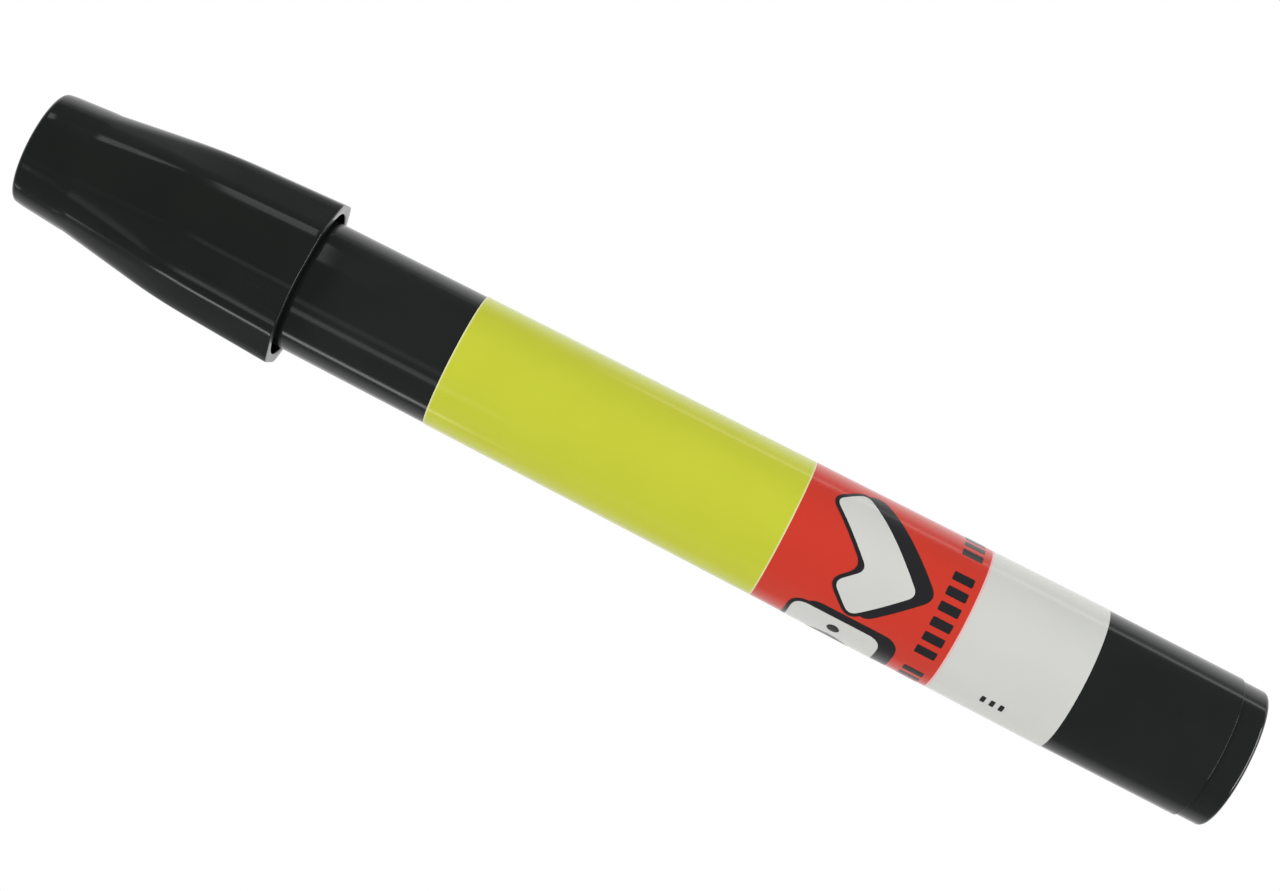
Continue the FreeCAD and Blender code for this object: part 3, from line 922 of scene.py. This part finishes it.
def make_floor(stage):
    """Floor along the line from the cap's rim to the tail's underside, on which the pen lies."""
    tilt = math.atan2(BARREL_LOW.z - CAP_LOW.z, BARREL_HIGH.x - CAP_HIGH.x)
    deselect()
    bpy.ops.mesh.primitive_plane_add(
        size=stage.floor_size, location=(CAP_HIGH.x, 0.0, 0.0), rotation=(0.0, -tilt, 0.0))
    floor = bpy.context.object
    floor.name = "floor"
    settle(floor)
    dress(floor, glow("floor_white", stage.floor_glow))
    floor.visible_glossy = False


def glow(name, strength, ramp=None):
    """A surface that only gives light.

    With a ramp of (near, far, strength there) the light changes across the pen.
    """
    material, shader = new_material(name)
    shader.inputs["Base Color"].default_value = (0.0, 0.0, 0.0, 1.0)
    shader.inputs["Specular IOR Level"].default_value = 0.0
    shader.inputs["Emission Color"].default_value = (1.0, 1.0, 1.0, 1.0)
    shader.inputs["Emission Strength"].default_value = strength
    if ramp:
        near, far, far_strength = ramp
        nodes = material.node_tree.nodes
        links = material.node_tree.links
        place = nodes.new("ShaderNodeTexCoord")
        across = nodes.new("ShaderNodeSeparateXYZ")
        fade = nodes.new("ShaderNodeMapRange")
        fade.inputs["From Min"].default_value = near
        fade.inputs["From Max"].default_value = far
        fade.inputs["To Min"].default_value = strength
        fade.inputs["To Max"].default_value = far_strength
        links.new(place.outputs["Object"], across.inputs["Vector"])
        links.new(across.outputs["Y"], fade.inputs["Value"])
        links.new(fade.outputs["Result"], shader.inputs["Emission Strength"])
    return material


def mirror_card(name, start, end, near, far, strength, ramp=None):
    """A card that shows only as a reflection, from start to end along the pen.

    near and far are (across, up) from the axis, the card's two long edges.
    """
    deselect()
    middle = Vector(((start + end) / 2, (near[0] + far[0]) / 2,
                     AXIS_HEIGHT + (near[1] + far[1]) / 2))
    turn = math.atan2(far[1] - near[1], far[0] - near[0])
    bpy.ops.mesh.primitive_plane_add(size=1.0, location=middle, rotation=(turn, 0.0, 0.0))
    card = bpy.context.object
    card.name = name
    card.scale = (end - start, math.dist(near, far), 1.0)
    settle(card)
    dress(card, glow(f"{name}_light", strength, ramp))
    card.visible_camera = False
    card.visible_diffuse = False
    card.visible_shadow = False


def strip_light(name, stage, bearing, spread, start, end, strength):
    """A long strip seen in the pen's gloss at a bearing round its axis, in degrees.

    Bearings count from behind the pen over its top.
    """
    edges = []
    for side in (-0.5, 0.5):
        angle = math.radians(bearing + side * spread)
        edges.append((math.cos(angle) * stage.strip_distance,
                      math.sin(angle) * stage.strip_distance))
    mirror_card(name, start, end, edges[0], edges[1], strength)


def soft_box(name, place, aim, width, height, power):
    """A rectangular area light that faces a point."""
    bpy.ops.object.light_add(type="AREA", location=place)
    light = bpy.context.object
    light.name = name
    light.rotation_euler = (Vector(place) - Vector(aim)).to_track_quat("Z", "Y").to_euler()
    light.data.shape = "RECTANGLE"
    light.data.size = width
    light.data.size_y = height
    light.data.energy = power
    return light


def make_lights(stage):
    """Soft boxes beyond both ends, strips that the gloss mirrors, and cards beside the pen.

    The cards stand for the floor in reflections, where the even floor would be too bright.
    """
    middle = Vector((0.0, 0.0, AXIS_HEIGHT))
    for name, side in (("soft_box_cap_end", -1.0), ("soft_box_tail_end", 1.0)):
        box = soft_box(name, (side * 0.9, -0.035, 0.45), middle, 1.8, 0.35, stage.end_light)
        box.visible_glossy = side > 0.0

    # bearing and spread in degrees, then strength over the cap's mouth; half over its end
    for name, bearing, spread, strength in (
            ("high", 137.0, 8.0, 0.5), ("low", 155.5, 8.0, 1.15), ("floor", 208.5, 6.0, 2.9)):
        strip_light(f"strip_front_{name}", stage, bearing, spread, -0.22, -0.06, strength)
        strip_light(f"strip_end_{name}", stage, bearing, spread, -0.37, -0.28, strength / 2)
    strip_light("strip_cap_back", stage, 44.0, 36.0, -0.21, -0.13, 1.25)
    strip_light("strip_cap_end_back", stage, 38.0, 12.0, -0.355, -0.305, 1.6)
    strip_light("strip_tail_back", stage, 1.7, 5.0, -0.02, 0.5, 1.6)

    lift = 0.6 * MM - AXIS_HEIGHT
    front, under, behind = -20.0 * MM, -9.5 * MM, 9.0 * MM
    reach = 0.5
    mirror_card("floor_front", -reach, reach, (front, lift), (under, lift), 0.6,
                ramp=(-12.0 * MM, front, 0.3))
    mirror_card("floor_under", -reach, reach, (under, lift), (behind, lift), 0.8)
    mirror_card("floor_behind", -reach, reach, (behind, lift), (0.6, lift), 0.95,
                ramp=(28.0 * MM, 90.0 * MM, 0.4))


def make_surround(stage):
    """Even light from the room."""
    world = bpy.data.worlds.new("surround")
    bpy.context.scene.world = world
    world.use_nodes = True
    background = world.node_tree.nodes["Background"]
    background.inputs["Color"].default_value = (1.0, 1.0, 1.0, 1.0)
    background.inputs["Strength"].default_value = stage.sky


# ---------------------------------------------------------------- operators


def shared(name, context):
    """A material that several pieces have, made the first time it is asked for."""
    makers = {
        "moulded_black": black_plastic, "tube_black": tube_plastic,
        "milky_plastic": natural_plastic, "nib_felt": felt,
        "reservoir_fibre": fibre, "reservoir_film": film,
    }
    return bpy.data.materials.get(name) or makers[name](context.scene.pen_finish)


class PEN_OT_cap_shell(bpy.types.Operator):
    """Model the faceted cap"""

    bl_idname = "pen.cap_shell"
    bl_label = "Cap Shell"

    def execute(self, context):
        make_cap_shell(context.scene.pen_cap, shared("moulded_black", context))
        return {"FINISHED"}


class PEN_OT_inner_cap(bpy.types.Operator):
    """Model the cup that seals the nib inside the cap"""

    bl_idname = "pen.inner_cap"
    bl_label = "Inner Cap"

    def execute(self, context):
        make_inner_cap(shared("milky_plastic", context))
        return {"FINISHED"}


class PEN_OT_barrel(bpy.types.Operator):
    """Model the tapered barrel and the plug in its tail"""

    bl_idname = "pen.barrel"
    bl_label = "Barrel and Plug"

    def execute(self, context):
        make_barrel(shared("tube_black", context))
        make_end_plug(shared("tube_black", context))
        return {"FINISHED"}


class PEN_OT_label(bpy.types.Operator):
    """Model the printed label"""

    bl_idname = "pen.label"
    bl_label = "Label"

    def execute(self, context):
        label = context.scene.pen_label
        pale = lightened(label.red, 0.5)
        edge = lightened(label.yellow, 0.35)
        make_label(label, {
            "yellow": ink("label_yellow", label.yellow),
            "red": ink("label_red", label.red),
            "white": ink("label_white", label.white),
            "pale": ink("label_pale", pale),
            "edge": ink("label_edge", edge),
        })
        make_signs(label, {
            "black": ink("label_black", label.ink, polish=0.3),
            "paper": ink("label_paper", label.white),
        })
        return {"FINISHED"}


class PEN_OT_nib(bpy.types.Operator):
    """Model the nib and its holder"""

    bl_idname = "pen.nib"
    bl_label = "Nib and Holder"

    def execute(self, context):
        make_holder(shared("milky_plastic", context))
        make_nib(shared("nib_felt", context))
        return {"FINISHED"}


class PEN_OT_reservoir(bpy.types.Operator):
    """Finish the ink reservoir, which keeps its plain round shape"""

    bl_idname = "pen.reservoir"
    bl_label = "Reservoir"

    def execute(self, context):
        for node, name in (
                ("reservoir_core", "reservoir_fibre"), ("reservoir_wrap", "reservoir_film")):
            obj = bpy.data.objects[node]
            dress(obj, shared(name, context))
        return {"FINISHED"}


class PEN_OT_stage(bpy.types.Operator):
    """Set up the floor, the lights and the camera"""

    bl_idname = "pen.stage"
    bl_label = "Stage"

    def execute(self, context):
        scene = context.scene
        scene.view_settings.view_transform = "Standard"
        make_floor(scene.pen_stage)
        make_lights(scene.pen_stage)
        make_surround(scene.pen_stage)
        make_camera(scene.pen_view)
        return {"FINISHED"}


class PEN_PT_sidebar(bpy.types.Panel):
    """Sizes, colours and steps of the pen"""

    bl_idname = "PEN_PT_sidebar"
    bl_label = "Pen"
    bl_space_type = "VIEW_3D"
    bl_region_type = "UI"
    bl_category = "Pen"

    def draw(self, context):
        for name, group in SETTINGS:
            box = self.layout.box()
            for size in group.__annotations__:
                box.prop(getattr(context.scene, name), size)
        for operator in OPERATORS:
            self.layout.operator(operator.bl_idname)


OPERATORS = (
    PEN_OT_cap_shell, PEN_OT_inner_cap, PEN_OT_barrel, PEN_OT_label, PEN_OT_nib,
    PEN_OT_reservoir, PEN_OT_stage)
SETTINGS = (
    ("pen_view", PenViewSettings),
    ("pen_stage", PenStageSettings),
    ("pen_cap", PenCapSettings),
    ("pen_label", PenLabelSettings),
    ("pen_finish", PenFinishSettings),
)


def register():
    """Add the settings, the operators and the panel."""
    for name, group in SETTINGS:
        bpy.utils.register_class(group)
        setattr(bpy.types.Scene, name, bpy.props.PointerProperty(type=group))
    for item in (*OPERATORS, PEN_PT_sidebar):
        bpy.utils.register_class(item)


def unregister():
    """Take out what register added."""
    for item in reversed((*OPERATORS, PEN_PT_sidebar)):
        bpy.utils.unregister_class(item)
    for name, group in reversed(SETTINGS):
        delattr(bpy.types.Scene, name)
        bpy.utils.unregister_class(group)


def main():
    """Model the whole pen and its stage."""
    register()
    for operator in OPERATORS:
        getattr(bpy.ops.pen, operator.bl_idname.split(".")[1])()


if __name__ == "__main__":
    main()
